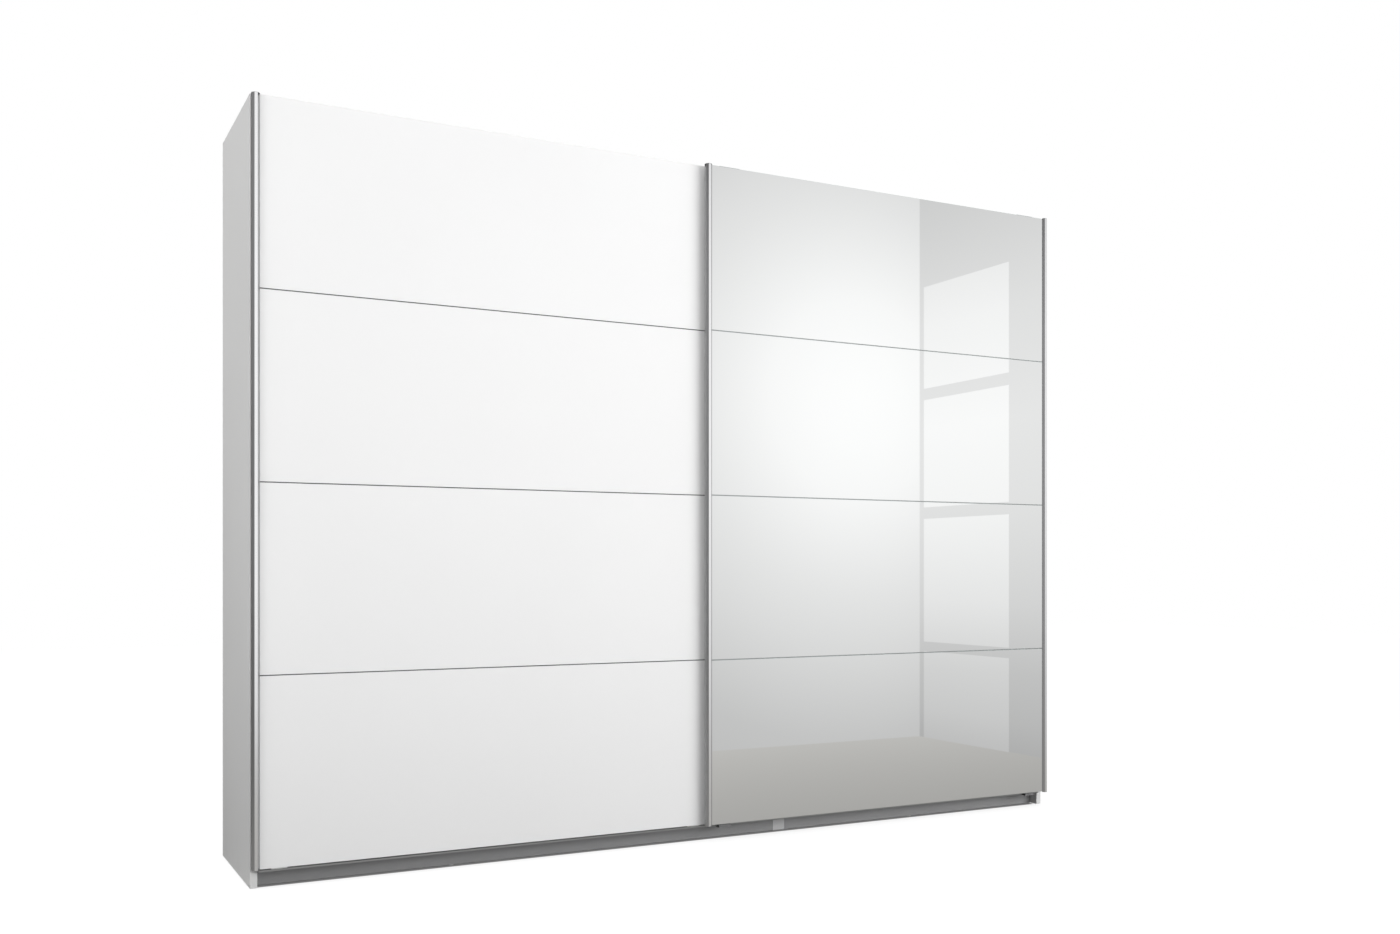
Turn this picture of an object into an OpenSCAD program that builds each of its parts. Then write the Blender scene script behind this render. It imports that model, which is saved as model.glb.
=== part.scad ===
// Two-door wardrobe with doors that hang in front of the carcass and slide past each other.
// The left door is white board and runs close to the carcass, and the right door is mirror
// glass and runs in front of it. Both hang on grooved rollers from a double running rail on
// the top boards, and a guide rail under the bottom boards keeps their lower edges in line.
// X is the width, the doors face -Y, Z is up. The origin is at floor level, under the middle.
// "Ahead" means the distance in front of the side panels' front edges.

/* [Overall] */
// Width over the side panels
wardrobe_w = 2700; // [1800:10:3300]
// Height of the side panels' top edge above the floor
wardrobe_h = 2170; // [1850:10:2650]
// Depth from the back edge to the front of the handles
wardrobe_d = 600; // [500:5:730]

/* [Carcass] */
// Thickness of the side, partition, top and bottom boards and of the shelves
board_t = 19; // [16:1:25]
// Thickness of the back panels
back_t = 3; // [2.5:0.5:6]
// Height of the bottom boards' underside above the floor
plinth_h = 53; // [53:1:120]
// Thickness of the plinth boards
plinth_t = 16; // [12:1:22]
// How far the plinth stands behind the side panels' front edges
plinth_recess = 38; // [38:1:80]
// Distance of the joint in the front plinth from the middle
plinth_joint_x = 278; // [60:1:700]
// Width of the clip that covers the plinth joint
clip_w = 42; // [24:1:70]
// How far the top boards lie below the side panels' top edge
rail_space_h = 50; // [50:1:80]
// Height of the floor glides
glide_h = 2; // [1:0.5:8]

/* [Inside] */
// Height of the shelves' top face above the floor
shelf_z = 1799; // [1300:1:1800]
// How far the shelves' front edge stands behind the side panels' front edges
shelf_recess = 62; // [60:1:150]
// Radius of the clothes rods
rod_r = 12.5; // [9:0.5:16]
// Wall of the clothes rods
rod_wall = 1.2; // [0.8:0.1:2]
// Distance of a rod's axis below its shelf
rod_drop = 60; // [35:1:120]

/* [Doors] */
// Thickness of a door's board, or of its mirror and backing together
door_t = 10; // [8:0.5:14]
// Thickness of the mirror glass
mirror_t = 4; // [3:0.5:5]
// Distance between the two doors' planes
plane_pitch = 27; // [25:0.5:34]
// Air between the rear door's back and the side panels' front edges
door_gap = 3; // [2.8:0.1:8]
// How far the doors' outer edges stand inside the carcass's outer faces
door_margin = 2.5; // [0:0.5:12]
// How far the closed doors overlap in the middle
door_overlap = 40; // [24:1:90]
// Height of the door panels' lower edge above the bottom boards' underside
door_rise = 1.3; // [1.2:0.1:4]
// Distance of the door panels' top edge below the side panels' top edge
door_drop = 2; // [1:0.5:8]
// How much of an open door's handle stays clear of the other door's edge
grip_margin = 30; // [10:1:120]
// Height of the visible face of the white door's trim strips
left_trim_h = 3; // [1.5:0.5:6]
// Height of the visible face of the mirror door's trim strips
right_trim_h = 2.5; // [1.5:0.5:6]

/* [Handles] */
// Width of a handle profile
handle_w = 21; // [16:0.5:30]
// Width of its flat front
handle_flat = 9; // [5:0.5:14]
// How far it stands in front of its door's face
handle_reach = 9; // [6:0.5:11]
// How far its ends pass the door panels' edges
handle_over = 2.2; // [1.6:0.1:4]

/* [Running gear] */
// Radius of a roller's tread
roller_r = 16; // [12:0.5:16]
// Width of a roller
roller_w = 10; // [8:0.5:12]
// Height of a roller's flanges over its tread
flange_h = 3; // [2:0.5:4]
// Radius of the roller axles
axle_r = 4; // [2.5:0.5:5]
// Height of the running rail's track ribs over its base
rib_h = 8; // [6:0.5:10]
// Width of a track rib
rib_w = 4; // [3:0.5:5]
// Thickness of the carriage and guide bracket steel
steel_t = 2.5; // [2:0.1:3]
// Width of a carriage bracket
carriage_w = 70; // [50:1:110]
// Distance of a carriage's middle from its door's edge
carriage_inset = 90; // [70:1:250]
// Radius of the mounting holes in the wall brackets
wall_hole_r = 3.2; // [2:0.1:5]

/* [Hidden] */
$fn = 64;

// Colours
white_board = "#f2f2f0";
white_front = "#fafafa";
hdf_white = "#e9e8e4";
plinth_grey = "#6f7072";
clip_grey = "#97989a";
alu = "#b9babc";
zinc = "#a8abad";
nylon = "#d8d8d4";
dark_nylon = "#4a4b4d";
black_steel = "#2e2f31";
mirror_glass = "#c9cdd0";

// Carcass planes
front_y = -wardrobe_d / 2 + door_gap + plane_pitch + door_t + handle_reach;
rear_y = wardrobe_d / 2;
right_x = wardrobe_w / 2;
inner_x = right_x - board_t;
half_t = board_t / 2;
strip_t = 0.8;
back_y = rear_y - strip_t - 0.2 - back_t;
floor_z = glide_h;
bottom_top = plinth_h + board_t;
top_z = wardrobe_h - rail_space_h;
top_under = top_z - board_t;
partition_front = -2;
top_front = -5;

// Door planes, as distances ahead of the side panels' front edges
rear_back = door_gap;
front_back = door_gap + plane_pitch;
rear_mid = rear_back + door_t / 2;

// Door outline
door_w = (wardrobe_w - 2 * door_margin + door_overlap) / 2;
left_x0 = -right_x + door_margin;
right_x0 = right_x - door_margin - door_w;
door_z0 = plinth_h + door_rise;
door_z1 = wardrobe_h - door_drop;
handle_z0 = door_z0 - handle_over;
handle_z1 = door_z1 + handle_over;
edge_wall = 3.2;
travel = door_w - door_overlap - grip_margin;

// Running gear
base_t = 3;
rib_top = top_z + base_t + rib_h;
run_gap = 0.3;
axle_z = rib_top + run_gap + roller_r;
rear_track = -22;
front_track = rear_track - plane_pitch;
rail_front = -8;
rail_back = front_track - 13;
arm_air = 1.2;
arm_z = handle_z1 + arm_air;
arm_bend = 6.5;
axle_clear = 0.05;
plate_air = 2.5;
bracket_low = 70;

// Guide rail, as heights
rail_plate_t = 1.8;
channel_top = handle_z0 - 0.8;
channel_low = channel_top - 5;
groove_w = 6;
tongue_w = 5.2;
rear_tongue = -11;
guide_arm_z = channel_low - 1.3 - steel_t;

// Screws
screw_r = 2;
screw_head_r = 4;
screw_head_h = 2;

// A box between two corners
module slab(x0, x1, y0, y1, z0, z1) {
  translate([x0, y0, z0]) cube([x1 - x0, y1 - y0, z1 - z0]);
}

// A box whose depth runs between two distances ahead of the side panels' front edges
module ahead_slab(x0, x1, a0, a1, z0, z1) {
  slab(x0, x1, front_y - a1, front_y - a0, z0, z1);
}

// An outline of [x, ahead] points, drawn upwards
module upright(x0, a0, z0, z1, points, holes = [], flip = false) {
  translate([x0, front_y - a0, z0]) mirror([flip ? 1 : 0, 0, 0]) mirror([0, 1, 0])
    linear_extrude(z1 - z0) difference() {
      polygon(points);
      if (len(holes) > 0) polygon(holes);
    }
}

// An outline of [ahead, z] points, drawn along the width
module along_x(x0, x1, points) {
  translate([x0, front_y, 0]) rotate([90, 0, 90]) linear_extrude(x1 - x0)
    polygon([for (p = points) [-p[0], p[1]]]);
}

module rod_y(r, a0, a1) {
  translate([0, front_y - a0, 0]) rotate([90, 0, 0]) cylinder(r = r, h = a1 - a0);
}

module rod_x(r, x0, x1) {
  translate([x0, 0, 0]) rotate([0, 90, 0]) cylinder(r = r, h = x1 - x0);
}

// ---- Where the fasteners sit ----

// The four ends of the top and of the bottom boards: the face they meet, and its side
board_ends = [[-inner_x, -1], [-half_t, 1], [half_t, -1], [inner_x, 1]];
cam_ys = [front_y + 90, back_y - 90];
cam_inset = 34;
cam_r = 7.5;
cam_depth = 13;
bolt_r = 3.5;
bolt_bite = 9;

// Cam pockets open upwards in the top boards and downwards in the bottom boards
module cam_solids(x_min, x_max) {
  for (end = board_ends) {
    if (end[0] >= x_min && end[0] <= x_max) {
      for (y = cam_ys) {
        translate([end[0] - end[1] * cam_inset, y, top_z - cam_depth]) cylinder(r = cam_r, h = cam_depth);
        translate([end[0] - end[1] * cam_inset, y, plinth_h]) cylinder(r = cam_r, h = cam_depth);
      }
    }
  }
}

module bolt_solids(x_min, x_max) {
  for (end = board_ends) {
    if (end[0] >= x_min && end[0] <= x_max) {
      for (y = cam_ys, z = [top_z - half_t, plinth_h + half_t]) {
        out_x = end[0] + end[1] * bolt_bite;
        in_x = end[0] - end[1] * (cam_inset - 3);
        translate([0, y, z]) rod_x(bolt_r, min(out_x, in_x), max(out_x, in_x));
      }
    }
  }
}

// Shelf pins stand half in the panel and half under the shelf
pin_r = 2.5;
pin_bite = 8;
shelf_under = shelf_z - board_t;
shelf_front_y = front_y + shelf_recess;
shelf_back_y = back_y - strip_t - 0.2;
pin_ys = [shelf_front_y + 60, shelf_back_y - 60];

module pin_solids(x_min, x_max) {
  for (end = board_ends) {
    if (end[0] >= x_min && end[0] <= x_max) {
      for (y = pin_ys) {
        translate([0, y, shelf_under - pin_r]) rod_x(pin_r, end[0] - pin_bite, end[0] + pin_bite);
      }
    }
  }
}

// Screws that hold the rails and the wall brackets to the boards
rail_screw_x = [for (side = [-1, 1], place = [0.06, 0.35, 0.65, 0.94]) side * place * inner_x];
rail_screw_a = (rear_track + front_track) / 2;
guide_screw_a = -25;
screw_bite = 13;
bracket_x = 0.5 * inner_x;
bracket_w = 40;
bracket_h = 40;
bracket_screw_dx = 12;
bracket_screw_y = back_y - 24;

module countersunk(bite, under) {
  translate([0, 0, -bite]) cylinder(r = screw_r, h = bite + under - screw_head_h + 0.01);
  translate([0, 0, under - screw_head_h]) cylinder(r1 = screw_r, r2 = screw_head_r, h = screw_head_h);
}

module board_screw_solids() {
  for (x = rail_screw_x) {
    translate([x, front_y - rail_screw_a, top_z]) countersunk(screw_bite, base_t);
    translate([x, front_y - guide_screw_a, plinth_h]) mirror([0, 0, 1])
      countersunk(screw_bite, rail_plate_t + 0.4);
  }
  for (side = [-1, 1], dx = [-bracket_screw_dx, bracket_screw_dx]) {
    translate([side * bracket_x + dx, bracket_screw_y, top_z]) countersunk(screw_bite, steel_t);
  }
}

// ---- Carcass ----

module side_panel(side) {
  x0 = side > 0 ? inner_x : -right_x;
  color(white_board) difference() {
    slab(x0, x0 + board_t, front_y, rear_y, floor_z, wardrobe_h);
    bolt_solids(side * inner_x - 1, side * inner_x + 1);
    pin_solids(side * inner_x - 1, side * inner_x + 1);
  }
}

module side_panel_left() { side_panel(-1); }
module side_panel_right() { side_panel(1); }

// The lower front corner is cut away for the plinth and the guide rail
module partition_panel() {
  color(white_board) difference() {
    slab(-half_t, half_t, front_y - partition_front, back_y, floor_z, top_z);
    slab(-board_t, board_t, front_y - 50, front_y + plinth_recess + plinth_t, 0, plinth_h);
    bolt_solids(-half_t, half_t);
    pin_solids(-half_t, half_t);
  }
}

module top_board(side) {
  x0 = side > 0 ? half_t : -inner_x;
  color(white_board) difference() {
    slab(x0, x0 + inner_x - half_t, front_y - top_front, back_y, top_under, top_z);
    cam_solids(x0 - 1, x0 + inner_x - half_t + 1);
    bolt_solids(x0 - 1, x0 + inner_x - half_t + 1);
    board_screw_solids();
  }
}

module top_board_left() { top_board(-1); }
module top_board_right() { top_board(1); }

module bottom_board(side) {
  x0 = side > 0 ? half_t : -inner_x;
  color(white_board) difference() {
    slab(x0, x0 + inner_x - half_t, front_y - partition_front, back_y, plinth_h, bottom_top);
    cam_solids(x0 - 1, x0 + inner_x - half_t + 1);
    bolt_solids(x0 - 1, x0 + inner_x - half_t + 1);
    board_screw_solids();
  }
}

module bottom_board_left() { bottom_board(-1); }
module bottom_board_right() { bottom_board(1); }

back_joint_w = 1;
back_w = inner_x / 2;

module back_panel(place) {
  x0 = -inner_x + place * back_w;
  color(hdf_white)
    slab(x0 + back_joint_w / 2, x0 + back_w - back_joint_w / 2, back_y, back_y + back_t, plinth_h, top_z);
}

module back_panel_left_outer() { back_panel(0); }
module back_panel_left_inner() { back_panel(1); }
module back_panel_right_inner() { back_panel(2); }
module back_panel_right_outer() { back_panel(3); }

// An H strip joins the back panels in the middle of each compartment
strip_w = 20;
module back_joint_strips() {
  color(hdf_white) for (side = [-1, 1]) {
    x = side * back_w;
    union() {
      slab(x - back_joint_w / 2, x + back_joint_w / 2, back_y - strip_t, back_y + back_t + strip_t,
           bottom_top, top_under);
      slab(x - strip_w / 2, x + strip_w / 2, back_y - strip_t, back_y, bottom_top, top_under);
      slab(x - strip_w / 2, x + strip_w / 2, back_y + back_t, back_y + back_t + strip_t,
           bottom_top, top_under);
    }
  }
}

clip_web = 2;
clip_t = 1.4;
module plinth_board(x0, x1) {
  color(plinth_grey) ahead_slab(x0, x1, -plinth_recess - plinth_t, -plinth_recess, floor_z, plinth_h);
}

module plinth_left() { plinth_board(-inner_x, plinth_joint_x - clip_web / 2); }
module plinth_right() { plinth_board(plinth_joint_x + clip_web / 2, inner_x); }

module plinth_joint_clip() {
  clip_z1 = plinth_h - rail_plate_t - 0.4;
  front_a = -plinth_recess;
  back_a = -plinth_recess - plinth_t;
  color(clip_grey) union() {
    ahead_slab(plinth_joint_x - clip_w / 2, plinth_joint_x + clip_w / 2, front_a, front_a + clip_t,
               floor_z, clip_z1);
    ahead_slab(plinth_joint_x - clip_web / 2, plinth_joint_x + clip_web / 2, back_a - clip_t,
               front_a + clip_t, floor_z, clip_z1);
    ahead_slab(plinth_joint_x - clip_w / 2, plinth_joint_x + clip_w / 2, back_a - clip_t, back_a,
               floor_z, clip_z1);
  }
}

rear_plinth_inset = 12;
module rear_plinth_boards() {
  color(plinth_grey) for (x0 = [-inner_x, half_t]) {
    slab(x0, x0 + inner_x - half_t, back_y - rear_plinth_inset - plinth_t, back_y - rear_plinth_inset,
         floor_z, plinth_h);
  }
}

// A flat aluminium base with one upright rib for each door's rollers
rail_end_gap = 1;
module running_rail() {
  half_rib = rib_w / 2;
  color(alu) difference() {
    along_x(-inner_x + rail_end_gap, inner_x - rail_end_gap, [
      [rail_front, top_z], [rail_front, top_z + base_t],
      [rear_track + half_rib, top_z + base_t], [rear_track + half_rib, rib_top],
      [rear_track - half_rib, rib_top], [rear_track - half_rib, top_z + base_t],
      [front_track + half_rib, top_z + base_t], [front_track + half_rib, rib_top],
      [front_track - half_rib, rib_top], [front_track - half_rib, top_z + base_t],
      [rail_back, top_z + base_t], [rail_back, top_z]]);
    board_screw_solids();
  }
}

// An upward groove under the rear door, and a downward one behind it for the front door
module guide_rail() {
  plate_low = plinth_h - rail_plate_t;
  half_groove = groove_w / 2;
  wall = 1.6;
  lip_a = rear_back + door_t + 1;
  color(alu) difference() {
    along_x(-inner_x + rail_end_gap, inner_x - rail_end_gap, [
      [-plinth_recess + 2, plinth_h], [-plinth_recess + 2, plate_low],
      [rear_tongue - half_groove - wall, plate_low], [rear_tongue - half_groove - wall, channel_low],
      [rear_tongue - half_groove, channel_low], [rear_tongue - half_groove, plate_low],
      [rear_tongue + half_groove, plate_low], [rear_tongue + half_groove, channel_low],
      [rear_tongue + half_groove + wall, channel_low], [rear_tongue + half_groove + wall, plate_low],
      [-0.5, plate_low], [-0.5, channel_low],
      [lip_a, channel_low], [lip_a, channel_top],
      [rear_mid + half_groove, channel_top], [rear_mid + half_groove, channel_low + 1.4],
      [rear_mid - half_groove, channel_low + 1.4], [rear_mid - half_groove, channel_top],
      [rear_back - 1.5, channel_top], [rear_back - 1.5, plinth_h]]);
    board_screw_solids();
  }
}

// Rubber stops sit astride the ribs and meet the rollers at both ends of the travel
stop_l = 22;
stop_top = axle_z + 1;
stop_w = 12;
stop_air = 1;
function roller_xs(x0) = [x0 + carriage_inset, x0 + door_w - carriage_inset];
flange_r = roller_r + flange_h;

module track_stop(x0, track) {
  color(dark_nylon) difference() {
    ahead_slab(x0, x0 + stop_l, track - stop_w / 2, track + stop_w / 2, top_z + base_t, stop_top);
    ahead_slab(x0 - 1, x0 + stop_l + 1, track - rib_w / 2, track + rib_w / 2, top_z, rib_top);
  }
}

module track_stops() {
  reach = flange_r + stop_air;
  track_stop(roller_xs(left_x0)[0] - reach - stop_l, rear_track);
  track_stop(roller_xs(left_x0)[1] + travel + reach, rear_track);
  track_stop(roller_xs(right_x0)[0] - travel - reach - stop_l, front_track);
  track_stop(roller_xs(right_x0)[1] + reach, front_track);
}

module board_screws() {
  color(zinc) board_screw_solids();
}

shelf_air = 0.5;
module shelf(side) {
  x0 = (side > 0 ? half_t : -inner_x) + shelf_air;
  color(white_board)
    slab(x0, x0 + inner_x - half_t - 2 * shelf_air, shelf_front_y, shelf_back_y, shelf_under, shelf_z);
}

module shelf_left() { shelf(-1); }
module shelf_right() { shelf(1); }

module shelf_pins() {
  color(zinc) pin_solids(-right_x, right_x);
}

rod_y_mid = (front_y + back_y) / 2;
rod_z = shelf_under - rod_drop;
rod_mid_x = (inner_x + half_t) / 2;
flange_t = 3;
cup_l = 12;
cup_wall = 3;

module clothes_rod(x0, x1) {
  color(alu) translate([0, rod_y_mid, rod_z]) difference() {
    rod_x(rod_r, x0 + flange_t, x1 - flange_t);
    rod_x(rod_r - rod_wall, x0, x1);
  }
}

module clothes_rod_left() { clothes_rod(-inner_x, -half_t); }
module clothes_rod_right() { clothes_rod(half_t, inner_x); }

// A round plate with a cup that holds the rod's end
module rod_flanges() {
  color(nylon) for (end = board_ends) {
    translate([end[0], rod_y_mid, rod_z]) mirror([end[1] > 0 ? 1 : 0, 0, 0]) difference() {
      union() {
        rod_x(rod_r + cup_wall + 5, 0, flange_t);
        rod_x(rod_r + cup_wall, 0, cup_l);
      }
      rod_x(rod_r, flange_t, cup_l + 1);
    }
  }
}

hanger_w = 12;
module rod_hangers() {
  ring_r = rod_r + 3;
  color(zinc) for (side = [-1, 1]) {
    x = side * rod_mid_x;
    difference() {
      union() {
        slab(x - 20, x + 20, rod_y_mid - 12, rod_y_mid + 12, shelf_under - 2, shelf_under);
        slab(x - hanger_w / 2, x + hanger_w / 2, rod_y_mid - 2, rod_y_mid + 2, rod_z + rod_r, shelf_under - 1);
        translate([0, rod_y_mid, rod_z]) rod_x(ring_r, x - hanger_w / 2, x + hanger_w / 2);
      }
      translate([0, rod_y_mid, rod_z]) rod_x(rod_r, x - hanger_w, x + hanger_w);
    }
  }
}

module cam_locks() {
  color(zinc) difference() {
    cam_solids(-right_x, right_x);
    bolt_solids(-right_x, right_x);
  }
}

module cam_bolts() {
  color(zinc) bolt_solids(-right_x, right_x);
}

// Angle brackets on the top boards, for a screw into the wall
module wall_brackets() {
  color(zinc) difference() {
    for (side = [-1, 1]) {
      x = side * bracket_x;
      union() {
        slab(x - bracket_w / 2, x + bracket_w / 2, back_y - 42, back_y, top_z, top_z + steel_t);
        slab(x - bracket_w / 2, x + bracket_w / 2, back_y - steel_t, back_y, top_z, top_z + bracket_h);
      }
    }
    board_screw_solids();
    for (side = [-1, 1]) {
      translate([side * bracket_x, back_y + 1, top_z + 24]) rotate([90, 0, 0])
        cylinder(r = wall_hole_r, h = steel_t + 2);
    }
  }
}

glide_r = 8;
module floor_glides() {
  glide_ys = [front_y + 100, rear_y - 60];
  plinth_y = front_y + plinth_recess + plinth_t / 2;
  rear_plinth_y = back_y - rear_plinth_inset - plinth_t / 2;
  color(nylon) {
    for (x = [-right_x + half_t, 0, right_x - half_t], y = glide_ys) {
      translate([x, y, 0]) cylinder(r = glide_r, h = glide_h);
    }
    for (x = [-inner_x * 0.6, inner_x * 0.6]) {
      translate([x, plinth_y, 0]) cylinder(r = glide_r - 1, h = glide_h);
      translate([x, rear_plinth_y, 0]) cylinder(r = glide_r - 1, h = glide_h);
    }
  }
}

// ---- Parts that both doors have ----

// Middle height of the strip above a door's lower fields, to a tenth as a saw is set
function seam_z(place) = round(10 * (door_z0 + place * (door_z1 - door_z0) / 4)) / 10;

// One of a door's four equal fields, counted upwards, between two strips
module field(x0, place, trim_h, a0, a1) {
  low = place == 0 ? door_z0 : seam_z(place) + trim_h / 2;
  high = place == 3 ? door_z1 : seam_z(place + 1) - trim_h / 2;
  ahead_slab(x0 + edge_wall, x0 + door_w - edge_wall, a0, a1, low, high);
}

handle_skin = 1.6;
handle_lip = 1.2;
handle_side = (handle_w - handle_flat) / 2;
handle_outline = [
  [0, 0], [0, door_t + handle_lip], [handle_side, door_t + handle_reach],
  [handle_w - handle_side, door_t + handle_reach], [handle_w, door_t + handle_lip],
  [handle_w, door_t], [edge_wall, door_t], [edge_wall, 0]];
handle_chamber = [
  [edge_wall, door_t + handle_skin], [handle_side + 1, door_t + handle_reach - handle_skin],
  [handle_w - handle_side - 1, door_t + handle_reach - handle_skin],
  [handle_w - edge_wall, door_t + handle_skin]];
cap_t = 1.2;
plug_l = 6;

// A hollow aluminium profile that wraps a door's upright edge
module handle_profile(x, back, flip) {
  color(alu) upright(x, back, handle_z0 + cap_t, handle_z1 - cap_t, handle_outline, handle_chamber, flip);
}

module handle_cap(x, back, flip, top) {
  plate_z = top ? handle_z1 - cap_t : handle_z0;
  plug_z = top ? handle_z1 - cap_t - plug_l : handle_z0 + cap_t;
  union() {
    upright(x, back, plate_z, plate_z + cap_t, handle_outline, [], flip);
    upright(x, back, plug_z, plug_z + plug_l, handle_chamber, [], flip);
  }
}

module handle_caps(x0, back) {
  color(alu) for (top = [true, false]) {
    handle_cap(x0, back, false, top);
    handle_cap(x0 + door_w, back, true, top);
  }
}

// A T strip: its stem shows between two fields and its flange lies behind them
trim_flange_h = 16;
trim_flange_t = 1.2;
trim_sink = 0.4;
module trim_strips(x0, back, stem_back, face, trim_h) {
  color(alu) for (place = [1, 2, 3]) {
    z = seam_z(place);
    union() {
      ahead_slab(x0 + edge_wall, x0 + door_w - edge_wall, stem_back, face - trim_sink,
                 z - trim_h / 2, z + trim_h / 2);
      if (stem_back <= back) {
        ahead_slab(x0 + edge_wall + 2, x0 + door_w - edge_wall - 2, back - trim_flange_t, back,
                   z - trim_flange_h / 2, z + trim_flange_h / 2);
      }
    }
  }
}

module axle_solids(x0, track) {
  for (x = roller_xs(x0)) {
    translate([x, 0, axle_z]) {
      rod_y(axle_r, track - roller_w / 2 - 1, track + roller_w / 2 + plate_air + steel_t);
      rod_y(axle_r + 2, track - roller_w / 2 - 2.5, track - roller_w / 2 - 0.7);
    }
  }
}

module axles(x0, track) {
  color(zinc) axle_solids(x0, track);
}

// Door screws: two rows through each carriage plate and one row through each guide plate
carriage_screw_dx = 24;
plate_screw_zs = [door_z1 - 22, door_z1 - 52];
guide_screw_dx = 10;
guide_plate_h = 46;
guide_w = 40;
guide_inset = 70;
function guide_xs(x0) = [x0 + guide_inset, x0 + door_w - guide_inset];

module door_screw(x, z, back, bite) {
  translate([x, front_y - back, z]) rotate([-90, 0, 0]) countersunk(bite, steel_t);
}

module carriage_screws(x0, back, bite) {
  for (x = roller_xs(x0), dx = [-carriage_screw_dx, carriage_screw_dx], z = plate_screw_zs) {
    door_screw(x + dx, z, back, bite);
  }
}

module front_guide_screws() {
  for (x = guide_xs(right_x0), dx = [-guide_screw_dx, guide_screw_dx]) {
    door_screw(x + dx, door_z0 + guide_plate_h - 14, front_back, front_bite);
  }
}

rear_bite = 8;
front_bite = 5;

module rear_guide_screws() {
  for (x = guide_xs(left_x0), dx = [-guide_screw_dx, guide_screw_dx]) {
    translate([x + dx, front_y - rear_mid, door_z0]) mirror([0, 0, 1])
      countersunk(screw_bite, foot_t);
  }
}

// A bent steel bracket: a plate behind the door, a slanted bend, an arm over the rail and a
// cheek for the axle
module carriage_bracket(x, back, track, arm_low) {
  cheek_a = track + roller_w / 2 + plate_air;
  arm_high = arm_low + steel_t;
  half = carriage_w / 2;
  low = door_z1 - bracket_low;
  bend_shift = steel_t * tan(22.5);
  union() {
    along_x(x - half, x + half, [
      [back, low], [back, arm_high - arm_bend], [back - arm_bend, arm_high], [cheek_a, arm_high],
      [cheek_a, arm_low], [back - arm_bend - bend_shift, arm_low],
      [back - steel_t, arm_high - arm_bend - bend_shift], [back - steel_t, low]]);
    ahead_slab(x - half + 10, x + half - 10, cheek_a, cheek_a + steel_t, axle_z - 13, arm_high);
  }
}

// ---- Left door: white board, rear plane ----

module left_panel(place) {
  color(white_front) difference() {
    field(left_x0, place, left_trim_h, rear_back, rear_back + door_t);
    if (place == 3) carriage_screws(left_x0, rear_back, rear_bite);
    if (place == 0) rear_guide_screws();
  }
}

module left_panel_bottom() { left_panel(0); }
module left_panel_lower() { left_panel(1); }
module left_panel_upper() { left_panel(2); }
module left_panel_top() { left_panel(3); }

module left_trim_strips() {
  trim_strips(left_x0, rear_back, rear_back, rear_back + door_t, left_trim_h);
}

module left_handle_outer() { handle_profile(left_x0, rear_back, false); }
module left_handle_inner() { handle_profile(left_x0 + door_w, rear_back, true); }
module left_handle_caps() { handle_caps(left_x0, rear_back); }

module left_carriage_brackets() {
  arm_low = axle_z + 5;
  color(zinc) difference() {
    for (x = roller_xs(left_x0)) {
      carriage_bracket(x, rear_back, rear_track, arm_low);
    }
    axle_solids(left_x0, rear_track);
    carriage_screws(left_x0, rear_back, rear_bite);
  }
}

module left_door_screws() {
  color(zinc) {
    carriage_screws(left_x0, rear_back, rear_bite);
    rear_guide_screws();
  }
}

module left_axles() { axles(left_x0, rear_track); }

// A nylon foot under the door whose fin runs in the guide rail's upward groove
foot_t = 2;
module left_guides() {
  color(nylon) difference() {
    for (x = guide_xs(left_x0)) {
      union() {
        ahead_slab(x - guide_w / 2, x + guide_w / 2, rear_back + 0.5, rear_back + door_t - 0.5,
                   door_z0 - foot_t, door_z0);
        ahead_slab(x - guide_w / 2, x + guide_w / 2, rear_mid - tongue_w / 2, rear_mid + tongue_w / 2,
                   channel_low + 2, door_z0);
      }
    }
    rear_guide_screws();
    for (x = guide_xs(left_x0), dx = [-guide_screw_dx, guide_screw_dx]) {
      translate([x + dx, front_y - rear_mid, channel_low]) cylinder(r = screw_head_r, h = door_z0 - foot_t - channel_low);
    }
  }
}

// ---- Right door: mirror, front plane ----

mirror_back = front_back + door_t - mirror_t;

module mirror_pane(place) {
  color(mirror_glass) field(right_x0, place, right_trim_h, mirror_back, front_back + door_t);
}

module mirror_bottom() { mirror_pane(0); }
module mirror_lower() { mirror_pane(1); }
module mirror_upper() { mirror_pane(2); }
module mirror_top() { mirror_pane(3); }

module mirror_backing() {
  color(white_board) difference() {
    ahead_slab(right_x0 + edge_wall, right_x0 + door_w - edge_wall, front_back, mirror_back,
               door_z0, door_z1);
    carriage_screws(right_x0, front_back, front_bite);
    front_guide_screws();
  }
}

module right_trim_strips() {
  trim_strips(right_x0, front_back, mirror_back, front_back + door_t, right_trim_h);
}

module right_handle_inner() { handle_profile(right_x0, front_back, false); }
module right_handle_outer() { handle_profile(right_x0 + door_w, front_back, true); }
module right_handle_caps() { handle_caps(right_x0, front_back); }

module right_carriage_brackets() {
  color(zinc) difference() {
    for (x = roller_xs(right_x0)) {
      carriage_bracket(x, front_back, front_track, arm_z);
    }
    axle_solids(right_x0, front_track);
    carriage_screws(right_x0, front_back, front_bite);
  }
}

module right_door_screws() {
  color(zinc) {
    carriage_screws(right_x0, front_back, front_bite);
    front_guide_screws();
  }
}

module right_axles() { axles(right_x0, front_track); }

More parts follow.
